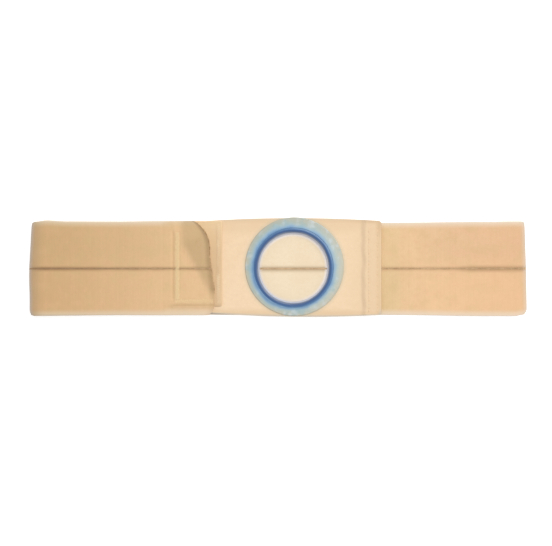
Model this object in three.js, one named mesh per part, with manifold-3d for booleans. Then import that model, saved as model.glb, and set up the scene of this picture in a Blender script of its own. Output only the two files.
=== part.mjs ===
// Ostomy support belt, closed by its hook tab and lying flat on its back with the front panel up.
// Two strips of wide elastic, edge to edge, make the strap. It starts under the panel's right end, goes round
// the right fold, along the back and round the left fold, and ends on the closure tab, where its free corner
// curls up as a finger pull. A soft ring lines the opening in the front panel.
// Units are millimetres. +X runs along the belt, +Y across it and +Z up from the surface that it lies on.

import * as THREE from "three";
import Module from "manifold-3d";
import { mergeVertices } from "three/addons/utils/BufferGeometryUtils.js";

const wasm = await Module();
wasm.setup();

// Driving dimensions
const BELT_LENGTH = 536.6; // from fold to fold, lying flat
const STRAP_HALF_WIDTH = 50.8; // of a strap four inches wide
const STRAP_WALL = 1.8;
const STRAP_AXIS_Y = -1.4; // the strap lies a little low on the panel
const SEAM_GAP = 0.5; // between the two strips
const STRIP_EDGE_ROUND = 0.6;
const LAYER_GAP = 0.4; // between layers that lie on each other
const FOLD_GAP = 6; // clear height inside each fold of the strap

const PANEL_LEFT_X = -104;
const PANEL_RIGHT_X = 112.4;
const PANEL_HALF_HEIGHT = 53.4; // at the opening, where it is widest
const PANEL_TAPER = 0.00035; // loss of half height for each squared millimetre away from the opening
const PANEL_TILT = 0.0117; // fall of its lower edge for each millimetre to the right
const PANEL_WALL = 2.4;
const PANEL_EDGE_ROUND = 0.7;
const PANEL_CORNER = 3; // radius of its right end's corners
const PANEL_CORNER_TURN = 80; // degrees of each corner's arc that are built
const PANEL_STEP_X = 90; // where the panel starts to climb onto the strap's hidden end
const PANEL_STEP_LENGTH = 6;

const TAB_LEFT_X = -109.5;
const TAB_RIGHT_X = -59.8;
const TAB_TOP_Y = 50.2;
const TAB_BOTTOM_Y = -42.4;
const TAB_CORNER = 2.5;
const TAB_WALL = 1.6;

const OPENING_X = 17.4;
const OPENING_Y = -0.6;
const OPENING_RADIUS = 38.1;
const BEAD_WIDTH = 6;
const BEAD_HEIGHT = 4.5;
const LIP_WIDTH = 1.5;
const LIP_WALL = 0.8;
const BEAD_TURN = { first: -50, last: 195, steps: 9 }; // degrees of the bead's round that stand clear
const FLANGE_RADIUS = 52.8;
const FLANGE_WALL = 1.3;
const RING_GAP = 0.3; // between the bead, the flange and the panel
const RING_SEGMENTS = 56;

// The flange's upper side from its outer edge (1) to its inner edge (0): its thickness as a share of its wall
const FLANGE_SECTION = [
  { across: 1, thick: 0.35 },
  { across: 0.8, thick: 0.8 },
  { across: 0.4, thick: 1 },
  { across: 0, thick: 1 },
];

const PULL_START_X = -107; // where the strap lies level on the tab
const STRAP_END_X = -67.8; // the free end, where it is longest
const PULL_STEP = 0.75; // rise where the strap climbs onto the tab
const END_SLANT = { loss: 5, fromY: -30, toY: 18 }; // how much shorter the slanting end is at its top
const FOLD_SKEW_LEFT = 2.8; // how far each fold falls short at the strap's upper edge
const FOLD_SKEW_RIGHT = 0.7;
const FOLD_SKEW_START_X = 180; // and the distance from the middle where that starts
const FOLD_PINCH = 2; // how far each edge of the strap draws in at the middle of a fold
const FOLD_STEPS = 8;

// The end's rounded corners, free and sewn: how much shorter they leave it from one y to the strap's edge
const END_CORNERS = [
  { loss: 16, fromY: 18, toY: 49.4, power: 2.85 },
  { loss: 6.5, fromY: -41, toY: -52.2, power: 2 },
];

// The line past which the pull's free corner curls
const CURL_LINE = { fromX: -91, fromY: 49.4, toX: -60.5, toY: 0 };
const CURL_RADIUS = 12;

// Creases past which the strap's end lifts, each with its slope and the distance over which it turns up:
// the finger pull's, and a small one across the sewn corner. None starts before the zigzag column.
const CREASES = [
  { fromX: -105, fromY: 22.4, toX: -75.5, toY: -28.3, slope: 0.56, ease: 8 },
  { fromX: -75, fromY: -43, toX: -83, toY: -53.5, slope: 0.2, ease: 2 },
];
const LIFT_START_X = -107;

// Heights of the layers: undersides for the panel and tab, the middle of the wall for the strap
const BACK_Z = STRAP_WALL / 2;
const FOLD_RADIUS = (FOLD_GAP + STRAP_WALL) / 2;
const FOLD_X = BELT_LENGTH / 2 - FOLD_RADIUS - STRAP_WALL / 2;
const FOLD_TOP_Z = BACK_Z + 2 * FOLD_RADIUS;
const PANEL_Z = STRAP_WALL + LAYER_GAP;
const PANEL_RISE = STRAP_WALL + LAYER_GAP;
const TAB_Z = PANEL_Z + PANEL_WALL + LAYER_GAP;
const PULL_Z = TAB_Z + TAB_WALL + LAYER_GAP + STRAP_WALL / 2;
const LAP_Z = PANEL_Z + STRAP_WALL / 2;
const LAP_X = PANEL_STEP_X + PANEL_STEP_LENGTH + 1;
const SAG_Z = PULL_Z - PULL_STEP;
const FLANGE_Z = PANEL_Z + PANEL_WALL + RING_GAP;
const PANEL_HOLE_RADIUS = OPENING_RADIUS + BEAD_WIDTH + RING_GAP;

// The strap's runs: its height and its reach above and below the seam at each row, and the steps to the next
const HALF = STRAP_HALF_WIDTH;
const FRONT_RIGHT_RUN = [
  { x: LAP_X, z: LAP_Z, above: HALF - 1.3, below: HALF - 0.8, steps: 3 },
  { x: 118, z: LAP_Z, above: HALF - 1.3, below: HALF - 0.8, steps: 7 },
  { x: 226, z: FOLD_TOP_Z, above: HALF - 0.2, below: HALF + 0.7, steps: 4 },
  { x: FOLD_X, z: FOLD_TOP_Z, above: HALF + 0.4, below: HALF - 1, steps: 1 },
];
const BACK_RUN = [
  { x: FOLD_X, z: BACK_Z, above: HALF + 0.4, below: HALF - 1, steps: 2 },
  { x: 200, z: BACK_Z, above: HALF - 1, below: HALF - 0.6, steps: 4 },
  { x: -200, z: BACK_Z, above: HALF - 0.6, below: HALF - 0.6, steps: 2 },
  { x: -FOLD_X, z: BACK_Z, above: HALF - 0.2, below: HALF + 0.2, steps: 1 },
];
const FRONT_LEFT_RUN = [
  { x: -FOLD_X, z: FOLD_TOP_Z, above: HALF - 0.2, below: HALF + 0.2, steps: 3 },
  { x: -248, z: FOLD_TOP_Z, above: HALF + 1.2, below: HALF + 0.2, steps: 5 },
  { x: -170, z: SAG_Z, above: HALF, below: HALF, steps: 3 },
  { x: -124, z: SAG_Z, above: HALF + 0.2, below: HALF - 0.4, steps: 4 },
  { x: -110, z: PULL_Z, above: HALF + 0.7, below: HALF - 0.5, steps: 1 },
  { x: PULL_START_X, z: PULL_Z, above: HALF + 0.8, below: HALF - 0.5, steps: 16 },
  { x: STRAP_END_X, z: PULL_Z, above: HALF + 0.8, below: HALF - 0.5, steps: 1 },
];

// Where the section's points lie across a strip, from the seam (0) to the strap's edge (1)
const STRIP_COLUMNS = [0.2, 0.4, 0.6, 0.75, 0.9];

const { lerp, degToRad, smoothstep } = THREE.MathUtils;
const smooth = (t) => smoothstep(t, 0, 1);

// Even places from one value up to, but without, another
const evenly = (from, to, steps) => Array.from({ length: steps }, (_, k) => lerp(from, to, k / steps));

// Stations along a run that heads along +X or -X, eased between its rows
function runStations(rows) {
  const heading = Math.sign(rows[rows.length - 1].x - rows[0].x);
  const stations = [];
  rows.forEach((row, i) => {
    const next = rows[i + 1] ?? row;
    const count = rows[i + 1] ? row.steps : 1;
    for (let k = 0; k < count; k++) {
      const t = k / count;
      const slope = next.x === row.x ? 0 : ((next.z - row.z) / (next.x - row.x)) * 6 * t * (1 - t);
      stations.push({
        x: lerp(row.x, next.x, t),
        z: lerp(row.z, next.z, smooth(t)),
        above: lerp(row.above, next.above, smooth(t)),
        below: lerp(row.below, next.below, smooth(t)),
        normal: new THREE.Vector2(-slope, 1).normalize().multiplyScalar(heading),
      });
    }
  });
  return stations;
}

// Stations round a fold: side is 1 for the right fold, going down, and -1 for the left one, going up
function foldStations(side, { above, below }) {
  const stations = [];
  for (let k = 1; k < FOLD_STEPS; k++) {
    const turn = (Math.PI * k) / FOLD_STEPS;
    const normal = new THREE.Vector2(Math.sin(turn), Math.cos(turn)).multiplyScalar(side);
    const x = side * FOLD_X + FOLD_RADIUS * normal.x;
    const z = BACK_Z + FOLD_RADIUS + FOLD_RADIUS * normal.y;
    const pinch = FOLD_PINCH * Math.sin(turn) ** 2;
    stations.push({ x, z, above: above - pinch, below: below - pinch, normal });
  }
  return stations;
}

// A slanting line's direction to its left, and the distance of a point past it that way
function slantLine({ fromX, fromY, toX, toY }) {
  const from = new THREE.Vector2(fromX, fromY);
  const along = new THREE.Vector2(toX, toY).sub(from).normalize();
  const away = new THREE.Vector2(-along.y, along.x);
  return { away, past: (point) => point.clone().sub(from).dot(away) };
}

const curlLine = slantLine(CURL_LINE);
const creases = CREASES.map((crease) => ({ ...crease, ...slantLine(crease) }));
const sum = (values) => values.reduce((total, value) => total + value, 0);

// How far the strap's end stands off the tab at a place, before it curls
function lift(flat) {
  const rises = creases.map(({ past, slope, ease }) => {
    const distance = Math.max(0, Math.min(past(flat), flat.x - LIFT_START_X));
    return slope * (distance < ease ? distance ** 2 / (2 * ease) : distance - ease / 2);
  });
  return sum(rises);
}

// How much shorter the slanting end and its rounded corners leave the strap at a place
function endLoss({ x, y }) {
  const reach = Math.max(0, (x - PULL_START_X) / (STRAP_END_X - PULL_START_X));
  const slant = END_SLANT.loss * smoothstep(y, END_SLANT.fromY, END_SLANT.toY);
  const corners = END_CORNERS.map(
    ({ loss, fromY, toY, power }) => loss * Math.max(0, (y - fromY) / (toY - fromY)) ** power,
  );
  return reach * (slant + sum(corners));
}

// A point of the strap: offset is its distance out of the middle of the wall
function strapPoint({ x, z, normal, curls }, y, offset) {
  const skew = x < 0 ? FOLD_SKEW_LEFT : FOLD_SKEW_RIGHT;
  const nearFold = smoothstep(Math.abs(x), FOLD_SKEW_START_X, FOLD_X);
  const high = Math.max(0, (y - STRAP_AXIS_Y) / HALF);
  const flat = new THREE.Vector2(x - Math.sign(x) * skew * nearFold * high, y);
  if (curls) flat.x -= endLoss(flat);
  const place = new THREE.Vector3(flat.x + offset * normal.x, y, z + offset * normal.y);
  if (!curls) return place;

  const distance = Math.max(0, curlLine.past(flat));
  const angle = distance / CURL_RADIUS;
  const shift = (CURL_RADIUS - offset) * Math.sin(angle) - distance;
  place.x += shift * curlLine.away.x;
  place.y += shift * curlLine.away.y;
  place.z += (CURL_RADIUS - offset) * (1 - Math.cos(angle)) + lift(flat);
  return place;
}

// A closed wall through rings of points: each ring has its upper side in order of y, then its lower side back
function loft(rings) {
  const count = rings[0].length;
  const index = [];
  const quad = (a, b, c, d) => index.push(a, b, c, a, c, d);
  for (let i = 0; i + 1 < rings.length; i++) {
    for (let j = 0; j < count; j++) {
      const k = (j + 1) % count;
      quad(i * count + j, (i + 1) * count + j, (i + 1) * count + k, i * count + k);
    }
  }
  const last = (rings.length - 1) * count;
  for (let j = 0; j + 1 < count / 2; j++) {
    const under = count - 1 - j;
    quad(j, j + 1, under - 1, under);
    quad(last + under, last + under - 1, last + j + 1, last + j);
  }
  const geometry = new THREE.BufferGeometry().setFromPoints(rings.flat());
  geometry.setIndex(index);
  geometry.computeVertexNormals();
  return geometry;
}

// A wall's section with rounded edges: columns are its inner y places, from low to high
function wallSection(lowY, highY, columns, wall, round) {
  const level = wall / 2;
  const upper = [
    { y: lowY, offset: level - round },
    { y: lowY + round, offset: level },
    ...columns.map((y) => ({ y, offset: level })),
    { y: highY - round, offset: level },
    { y: highY, offset: level - round },
  ];
  const lower = upper.map(({ y, offset }) => ({ y, offset: -offset })).reverse();
  return [...upper, ...lower];
}

// One strip of the strap: side is 1 above the seam and -1 below it
function stripGeometry(side) {
  const pullRun = runStations(FRONT_LEFT_RUN).map((station) => ({ ...station, curls: true }));
  const stations = [
    ...runStations(FRONT_RIGHT_RUN),
    ...foldStations(1, BACK_RUN[0]),
    ...runStations(BACK_RUN),
    ...foldStations(-1, BACK_RUN[BACK_RUN.length - 1]),
    ...pullRun,
  ];
  const rings = stations.map((station) => {
    const reach = side > 0 ? station.above : station.below;
    const places = [0, ...STRIP_COLUMNS, 1].map((f) => STRAP_AXIS_Y + side * lerp(SEAM_GAP / 2, reach, f));
    const [lowY, ...columns] = places.sort((a, b) => a - b);
    const highY = columns.pop();
    const section = wallSection(lowY, highY, columns, STRAP_WALL, STRIP_EDGE_ROUND);
    return section.map(({ y, offset }) => strapPoint(station, y, offset));
  });
  return loft(rings);
}

// The panel's lower and upper edge, with rounded corners at its right end
function panelEdges(x) {
  const bowed = PANEL_HALF_HEIGHT - PANEL_TAPER * (x - OPENING_X) ** 2;
  const past = Math.max(0, x - (PANEL_RIGHT_X - PANEL_CORNER));
  const half = bowed - (PANEL_CORNER - Math.sqrt(PANEL_CORNER ** 2 - past ** 2));
  return [-half - PANEL_TILT * (x - OPENING_X), half];
}

function panelPlate() {
  const stepEnd = PANEL_STEP_X + PANEL_STEP_LENGTH;
  const cornerX = PANEL_RIGHT_X - PANEL_CORNER;
  const cornerTurns = [...evenly(0, PANEL_CORNER_TURN, 3), PANEL_CORNER_TURN].map(degToRad);
  const places = [
    ...evenly(PANEL_LEFT_X, PANEL_STEP_X, 10),
    ...evenly(PANEL_STEP_X, stepEnd, 5),
    stepEnd,
    ...cornerTurns.map((turn) => cornerX + PANEL_CORNER * Math.sin(turn)),
  ];
  const rings = places.map((x) => {
    const [low, high] = panelEdges(x);
    const middle = PANEL_Z + PANEL_WALL / 2 + PANEL_RISE * smooth((x - PANEL_STEP_X) / PANEL_STEP_LENGTH);
    return wallSection(low, high, [low / 2, high / 2], PANEL_WALL, PANEL_EDGE_ROUND).map(
      ({ y, offset }) => new THREE.Vector3(x, y, middle + offset),
    );
  });
  return loft(rings);
}

// A geometry as a solid that can be cut
function solid(geometry) {
  const bare = new THREE.BufferGeometry().setAttribute("position", geometry.getAttribute("position"));
  if (geometry.index) bare.setIndex(geometry.index);
  const merged = mergeVertices(bare, 1e-3);
  return new wasm.Manifold(
    new wasm.Mesh({
      numProp: 3,
      vertProperties: merged.getAttribute("position").array,
      triVerts: new Uint32Array(merged.index.array),
    }),
  );
}

function geometryOf(cut) {
  const { vertProperties, triVerts } = cut.getMesh();
  const geometry = new THREE.BufferGeometry();
  geometry.setAttribute("position", new THREE.BufferAttribute(vertProperties, 3));
  geometry.setIndex(new THREE.BufferAttribute(triVerts, 1));
  geometry.computeVertexNormals();
  return geometry;
}

function panelGeometry() {
  const radius = PANEL_HOLE_RADIUS;
  const hole = new THREE.CylinderGeometry(radius, radius, 4 * PANEL_WALL, RING_SEGMENTS);
  hole.rotateX(Math.PI / 2).translate(OPENING_X, OPENING_Y, PANEL_Z);
  return geometryOf(solid(panelPlate()).subtract(solid(hole)));
}

// A ring turned about the opening's axis from a profile of radius and height
function ringGeometry(profile) {
  const points = [...profile, profile[0]].map(([radius, height]) => new THREE.Vector2(radius, height));
  return new THREE.LatheGeometry(points, RING_SEGMENTS).rotateX(Math.PI / 2);
}

// The round bead in the panel's hole, with a thin lip at its foot that narrows the opening
function beadGeometry() {
  const low = PANEL_Z;
  const half = BEAD_HEIGHT / 2;
  const middle = OPENING_RADIUS + BEAD_WIDTH / 2;
  const { first, last, steps } = BEAD_TURN;
  const turns = [...evenly(first, last, steps), last].map(degToRad);
  const round = (turn) => [
    middle + (BEAD_WIDTH / 2) * Math.cos(turn),
    low + half + half * Math.sin(turn),
  ];
  return ringGeometry([
    [OPENING_RADIUS - LIP_WIDTH, low],
    [middle, low],
    ...turns.map(round),
    [OPENING_RADIUS - LIP_WIDTH, low + LIP_WALL],
  ]);
}

// The thin washer that lies on the panel round the bead, thinning to its outer edge
function flangeGeometry() {
  const inner = PANEL_HOLE_RADIUS;
  const upper = FLANGE_SECTION.map(({ across, thick }) => [
    lerp(inner, FLANGE_RADIUS, across),
    FLANGE_Z + thick * FLANGE_WALL,
  ]);
  return ringGeometry([[inner, FLANGE_Z], [FLANGE_RADIUS, FLANGE_Z], ...upper]);
}

// The plain patch under the strap's end, with rounded corners
function tabGeometry() {
  const r = TAB_CORNER;
  const outline = new THREE.Shape();
  outline.absarc(TAB_RIGHT_X - r, TAB_TOP_Y - r, r, 0, Math.PI / 2);
  outline.absarc(TAB_LEFT_X + r, TAB_TOP_Y - r, r, Math.PI / 2, Math.PI);
  outline.absarc(TAB_LEFT_X + r, TAB_BOTTOM_Y + r, r, Math.PI, 1.5 * Math.PI);
  outline.absarc(TAB_RIGHT_X - r, TAB_BOTTOM_Y + r, r, 1.5 * Math.PI, 2 * Math.PI);
  return new THREE.ExtrudeGeometry(outline, { depth: TAB_WALL, bevelEnabled: false, curveSegments: 4 });
}

const elastic = new THREE.MeshStandardMaterial({ color: 0xe3bb8e, roughness: 0.9, metalness: 0 });
const panelCloth = new THREE.MeshStandardMaterial({ color: 0xf2d7b3, roughness: 0.85, metalness: 0 });
const tabCloth = new THREE.MeshStandardMaterial({ color: 0xe4c098, roughness: 0.9, metalness: 0 });
const deepBlueVinyl = new THREE.MeshStandardMaterial({ color: 0x3f6ea8, roughness: 0.35, metalness: 0 });
const paleBlueVinyl = new THREE.MeshStandardMaterial({ color: 0xa9c6cc, roughness: 0.3, metalness: 0 });

function piece(name, geometry, material, position = [0, 0, 0]) {
  const mesh = new THREE.Mesh(geometry, material);
  mesh.name = name;
  mesh.position.set(...position);
  return mesh;
}

const ringPlace = [OPENING_X, OPENING_Y, 0];
const belt = new THREE.Group();
belt.add(
  piece("elastic_upper", stripGeometry(1), elastic),
  piece("elastic_lower", stripGeometry(-1), elastic),
  piece("front_panel", panelGeometry(), panelCloth),
  piece("closure_tab", tabGeometry(), tabCloth, [0, 0, TAB_Z]),
  piece("ring_bead", beadGeometry(), deepBlueVinyl, ringPlace),
  piece("ring_flange", flangeGeometry(), paleBlueVinyl, ringPlace),
);

export default belt;
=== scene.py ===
# Ostomy support belt, closed and lying flat on its back with the front panel up.
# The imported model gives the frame; the cloth, the ring, the thread, the floor and the light are made here.
# Shapes are worked out in millimetres, with +X along the belt, +Y across it and +Z up from the floor.

import math

import bpy
import numpy as np
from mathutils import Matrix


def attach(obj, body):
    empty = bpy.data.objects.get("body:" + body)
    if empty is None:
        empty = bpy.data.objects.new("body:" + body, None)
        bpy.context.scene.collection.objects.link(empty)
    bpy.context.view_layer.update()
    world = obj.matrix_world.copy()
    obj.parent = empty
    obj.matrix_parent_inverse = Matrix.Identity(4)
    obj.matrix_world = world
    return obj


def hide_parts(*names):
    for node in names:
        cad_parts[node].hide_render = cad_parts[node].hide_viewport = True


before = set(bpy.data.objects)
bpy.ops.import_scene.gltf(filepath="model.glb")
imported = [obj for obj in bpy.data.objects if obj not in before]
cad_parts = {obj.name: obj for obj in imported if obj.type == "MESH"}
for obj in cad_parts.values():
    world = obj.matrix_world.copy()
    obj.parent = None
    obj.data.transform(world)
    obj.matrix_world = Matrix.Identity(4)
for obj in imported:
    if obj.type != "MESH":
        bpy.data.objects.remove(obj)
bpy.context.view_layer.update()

MM = 0.001  # metres in a millimetre

# Sizes of the strap
BELT_LENGTH = 536.6
HALF = 50.8
STRAP_WALL = 1.8
STRAP_AXIS_Y = -1.4
SEAM_GAP = 0.5
SEAM_ROUND = {1: 1.8, -1: 3.2}  # how wide each strip thins to the seam
EDGE_ROUND = 1.1  # and to the strap's edge
SELVAGE_START = 46.2  # from the seam
SELVAGE_STEP = 1.0  # width over which the wall thins there
SELVAGE_THIN = 0.14  # share of the wall that the selvage lacks
LAYER_GAP = 0.4
FOLD_GAP = 6.0
SWAY = 0.22  # how far the free runs wave out of level
SWAY_X = (135.0, 235.0)  # on both sides of the belt's middle
SWAY_FADE = 20.0
SWAY_WAVES = ((11.3, 31.0, 0.0), (17.9, -19.0, 1.0), (60.0, 8.7, 0.0))  # lengths and phase

# How the folds lie out of square
FOLD_SKEW_START_X = 180.0
FOLD_SKEW_LEFT = 2.8  # how far the left one falls short at its upper edge
FOLD_DRAWS_LEFT = ((0.5, -12.0, -34.0), (1.5, -47.0, -52.6))  # and lower down, from one y to another
FOLD_OUT_RIGHT = 0.6  # how far the right one reaches out at the seam
FOLD_SKEW_RIGHT = (1.65, 0.9)  # falls short above and reaches out below
FOLD_PINCH = {1: (1.2, 5.0), -1: (1.6, 0.8)}  # how far the edges draw in at the right and left

# Sizes of the panel
PANEL_LEFT_X = -104.0
PANEL_RIGHT_X = 112.4
PANEL_HALF_HEIGHT = 53.4
PANEL_TAPER = 0.00035
PANEL_TILT = 0.0117
PANEL_WALL = 2.4
PANEL_ROUND = 1.0
PANEL_CORNER = 3.0
PANEL_STEP_X = 90.0
PANEL_STEP_LENGTH = 6.0
STEP_WANDER = 0.8  # how far the step strays from a straight line
STEP_WAVES = ((7.3, 0.6), (3.9, 0.0))  # lengths and phases of its waves
LAP_ROOM = 1.0  # from the step to the strap's hidden start

# Sizes of the tab
TAB_LEFT_X = -109.5
TAB_RIGHT_X = -59.8
TAB_TOP_Y = 50.2
TAB_BOTTOM_Y = -42.4
TAB_CORNER = 2.5
TAB_WALL = 1.6
TAB_ROUND = 0.9
TAB_CLING = 0.3  # how far its hooks reach down to the panel
TAB_TAPER = 3.0  # length over which it thins to its lower edge
TAB_THIN = 0.35  # share of its wall that is left there
TAB_END_THIN = 0.4  # and at its left and right end

# Sizes of the ring
OPENING_X = 17.4
OPENING_Y = -0.6
OPENING_RADIUS = 38.1
BEAD_WIDTH = 6.0
BEAD_HEIGHT = 4.5
BEAD_ARC = (math.radians(-50), math.radians(195))  # the round part of its section
LIP_WIDTH = 1.5
LIP_WALL = 0.8
LIP_ROUND = 0.25
LIP_FOOT = 0.2  # bevel at the lip's foot
LIP_BLEND = 0.1  # how far the lip reaches onto the bead
FLANGE_RADIUS = 53.3
FLANGE_WALL = 1.3
FLANGE_THIN = 0.3  # share of its wall that is left at its edge
FLANGE_SHIFT = (1.1, 1.4)  # how far its edge lies off the opening's middle
FLANK_GAP = 0.06  # between the flange and the bead's side
RING_GAP = 0.3

# Sizes of the finger pull
STEP_X = (-124.0, -110.0)  # where the strap climbs onto the tab
PULL_START_X = -107.0
STRAP_END_X = -68.2
PULL_STEP = 0.75
END_SLANT = 5.0
END_SLANT_Y = (-30.0, 18.0)
CURL_LINE = ((-91.0, 49.4), (-60.5, 0.0))
CURL_RADIUS = 12.0
LIFT_START_X = -107.0

# The end's rounded corners, free and sewn: loss of length from one y to the strap's edge, and its power
END_CORNERS = (
    (16.0, 18.0, 49.4, 2.85),
    (6.5, -41.0, -52.2, 2.0),
)

# Creases past which the strap's end lifts: a line, the slope, and the distance over which it turns up
CREASES = (
    (((-105.0, 22.4), (-76.8, -28.3)), 0.56, 7.0),
    (((-75.0, -43.0), (-83.0, -53.5)), 0.2, 2.0),
)

# Heights of the layers: undersides for the panel and tab, the middle of the wall for the strap
BACK_Z = STRAP_WALL / 2
FOLD_RADIUS = (FOLD_GAP + STRAP_WALL) / 2
FOLD_X = BELT_LENGTH / 2 - FOLD_RADIUS - STRAP_WALL / 2
FOLD_TOP_Z = BACK_Z + 2 * FOLD_RADIUS
PANEL_Z = STRAP_WALL + LAYER_GAP
PANEL_RISE = STRAP_WALL + LAYER_GAP
TAB_Z = PANEL_Z + PANEL_WALL + LAYER_GAP
PULL_Z = TAB_Z + TAB_WALL + LAYER_GAP + STRAP_WALL / 2
LAP_Z = PANEL_Z + STRAP_WALL / 2
LAP_X = PANEL_STEP_X + PANEL_STEP_LENGTH + LAP_ROOM
SAG_Z = PULL_Z - PULL_STEP
FLANGE_Z = PANEL_Z + PANEL_WALL + RING_GAP
HOLE_RADIUS = OPENING_RADIUS + BEAD_WIDTH + RING_GAP

# The strap's runs: x, height, reach above and below the seam, and pitch of the stations to the next row
FRONT_RIGHT_RUN = (
    (LAP_X, LAP_Z, HALF - 0.9, HALF - 0.8, 2.0),
    (118.0, LAP_Z, HALF - 0.9, HALF - 0.8, 1.8),
    (226.0, FOLD_TOP_Z, HALF - 0.1, HALF + 0.4, 1.8),
    (255.0, FOLD_TOP_Z, HALF + 0.4, HALF + 0.4, 1.0),
    (FOLD_X, FOLD_TOP_Z, HALF + 0.4, HALF - 1.0, 1.0),
)
BACK_RUN = (
    (FOLD_X, BACK_Z, HALF + 0.4, HALF - 1.0, 2.0),
    (200.0, BACK_Z, HALF - 1.0, HALF - 0.6, 2.5),
    (-200.0, BACK_Z, HALF - 0.6, HALF - 0.6, 2.0),
    (-FOLD_X, BACK_Z, HALF, HALF + 0.3, 1.0),
)
FRONT_LEFT_RUN = (
    (-FOLD_X, FOLD_TOP_Z, HALF, HALF + 0.3, 1.2),
    (-252.0, FOLD_TOP_Z, HALF + 1.5, HALF + 0.2, 1.8),
    (-228.0, FOLD_TOP_Z, HALF + 0.4, HALF - 0.1, 1.8),
    (-170.0, SAG_Z, HALF + 0.3, HALF - 0.5, 1.6),
    (STEP_X[0], SAG_Z, HALF + 0.9, HALF - 0.4, 0.6),
    (STEP_X[1], PULL_Z, HALF + 0.9, HALF - 0.5, 0.5),
    (PULL_START_X, PULL_Z, HALF + 1.0, HALF - 0.5, 0.7),
    (STRAP_END_X, PULL_Z, HALF + 0.8, HALF - 0.5, 1.0),
)

# Thread and stitching
THREAD_RADIUS = 0.3
THREAD_SHOWN = 0.55  # share of the pull's thread that stands above the cloth
COLUMN_PITCH_Y = 1.3
COLUMN_X = (-110.9, -105.2)  # the dense zigzag at the pull's left side
COLUMN_Y = (-34.5, 37.6)
ROW_PITCH_X = 2.2
ROW_X = (-110.4, -69.6)  # the open zigzag along its lower side
ROW_Y = (-39.4, -34.0)
TAB_ZIGZAG_X = (-66.0, -62.3)
TAB_ZIGZAG_Y = (-39.0, 46.5)
TAB_ZIGZAG_PITCH = 2.6
PANEL_STITCH_X = (98.9, 108.1)
STITCH_LENGTH = 2.9
STITCH_SPACE = 1.0
STITCH_MARGIN = 3.0  # from the panel's edges to the ends of a line
STITCH_ARCH = (2.2, 1.6)  # its rise and its start, in thread radii
SEAM_PITCH = 1.3
SEAM_REACH = 0.9
SEAM_SINK = 0.3  # how far the seam's thread lies under the strap's face
SEAM_THREAD = 0.26

# What the stitching does to the cloth
CREASE_X = -113.0  # the crease that the column pulls into the strap
CREASE_DEPTH = 0.9
CREASE_WIDTH = 1.1
CREASE_FADE = 3.0
ROW_CREASE_Y = -40.7  # the crease under the row
ROW_CREASE_DEPTH = 0.35
ROW_CREASE_FADE = 2.0
SEWN_DEPTH = 0.15  # how far stitching pulls the strap down
SEWN_FADE = 1.0
TAB_DROP_Y = (-41.0, -43.8)  # where the strap drops off the tab's lower edge
TAB_DROP = 1.6
PUCKER_DEPTH = 0.14  # of the panel along its stitching
PUCKER_WIDTH = 1.6
PUCKER_WAVES = (1.7, 6.1)

# Frayed yarn at the strap's cut end
FRAY_COUNT = 190
FRAY_LENGTH = (0.4, 1.6)
FRAY_Y = (-29.0, 48.0)
FRAY_LEVEL = (-0.6, 0.8)  # in shares of half the wall
FRAY_DRIFT = 0.5
FRAY_RADIUS = 0.13
FRAY_STEPS = (-0.5, 0.0, 0.5, 1.0)  # shares of its length

# Fineness of the meshes
COLUMN_PITCH = 2.2
EDGE_BLUNT = 2.4  # how blunt a rounded edge is; 2 is a plain ellipse
EDGE_STEPS = 5
FOLD_STEPS = 24
PANEL_PITCH = 1.5
PANEL_ROWS = 59  # of faces, from its hole to its outline
CORNER_STEPS = 6
RING_SEGMENTS = 192
BEAD_STEPS = 22
FLANGE_STEPS = 14
FLANK_STEPS = 5
THREAD_SIDES = 6
NO_LENGTH = 1e-6  # the least length that gives a direction
STROKE_STEPS = 4
STITCH_STEPS = 7

# The picture's frame on the floor, and the camera over it
FRAME_WIDTH = 0.5962
FRAME_CENTRE = (-0.00151, -0.00616)
LENS = 120.0
SENSOR = 36.0
SUBJECT_Z = 0.007

# The studio, in metres and watts
FLOOR_SIZE = 8.0
FLOOR_Z = -0.0002
FLOOR_TONE = (0.94, 0.94, 0.94, 1.0)
FLOOR_GLOW = 0.42
WORLD_LIGHT = 0.7
KEY_PLACE = (2.0, 2.4, 3.5)
KEY_SIZE = 4.0
KEY_POWER = 148.0
KEY_TINT = (1.0, 0.99, 0.97)


def smooth(t):
    t = np.clip(t, 0.0, 1.0)
    return t * t * (3 - 2 * t)


def ease(value, low, high):
    return smooth((value - low) / (high - low))


# Materials

LIGHT_LEVEL = 1.1  # brightness of a flat white surface in the studio
WEAVE_LAYER = "Weave"  # along and across a strip of elastic, in metres
RING_LAYER = "Ring"  # round and across a ring
PANEL_LAYER = "Panel"  # from the panel's hole and from its edge, in metres

# Where the strap's tones lie, in metres
LEFT_TONE_X = (-0.27, -0.03)
RIGHT_TONE_X = (0.14, 0.27)
LEFT_RUN_X = (-0.13, -0.11)
RIGHT_RUN_X = (0.14, 0.17)
# where the seam's painted shade and soil deepen before the right fold
RIGHT_SEAM_SHADE_AND_SOIL_X = (0.19, 0.21)
BELOW_SEAM_Y = (-0.002, 0.0)
UPPER_STRIP_Y = (-0.02, 0.02)
RAISED_END_Y = (-0.031, -0.023)
LIFTED_END_SHADE_Z = (0.0091, 0.0115)
PANEL_END_SHADE_REACH = (0.012, 0.03)  # painted shade, from the panel's right end
SELVAGE_TONE = (0.043, 0.0505)  # from the seam
# painted light along the upper strip's edge and painted shade along the lower strip's edge
MARGIN_LIGHT_AND_SHADE = (0.0486, 0.0504)
# widths of the painted shade and soil in the seam's groove, from the seam
SEAM_SHADE_AND_SOIL = 0.0045
RIGHT_SEAM_SHADE_AND_SOIL = 0.0054
PLUSH_SEAM_SHADE_AND_SOIL = 0.0056
SEAM_SHADE = 0.0004  # how far the seam's shade lies towards the lower strip
LEFT_FOLD_SHADE = (0.004, 0.022)  # painted shade, from the left fold
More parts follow.
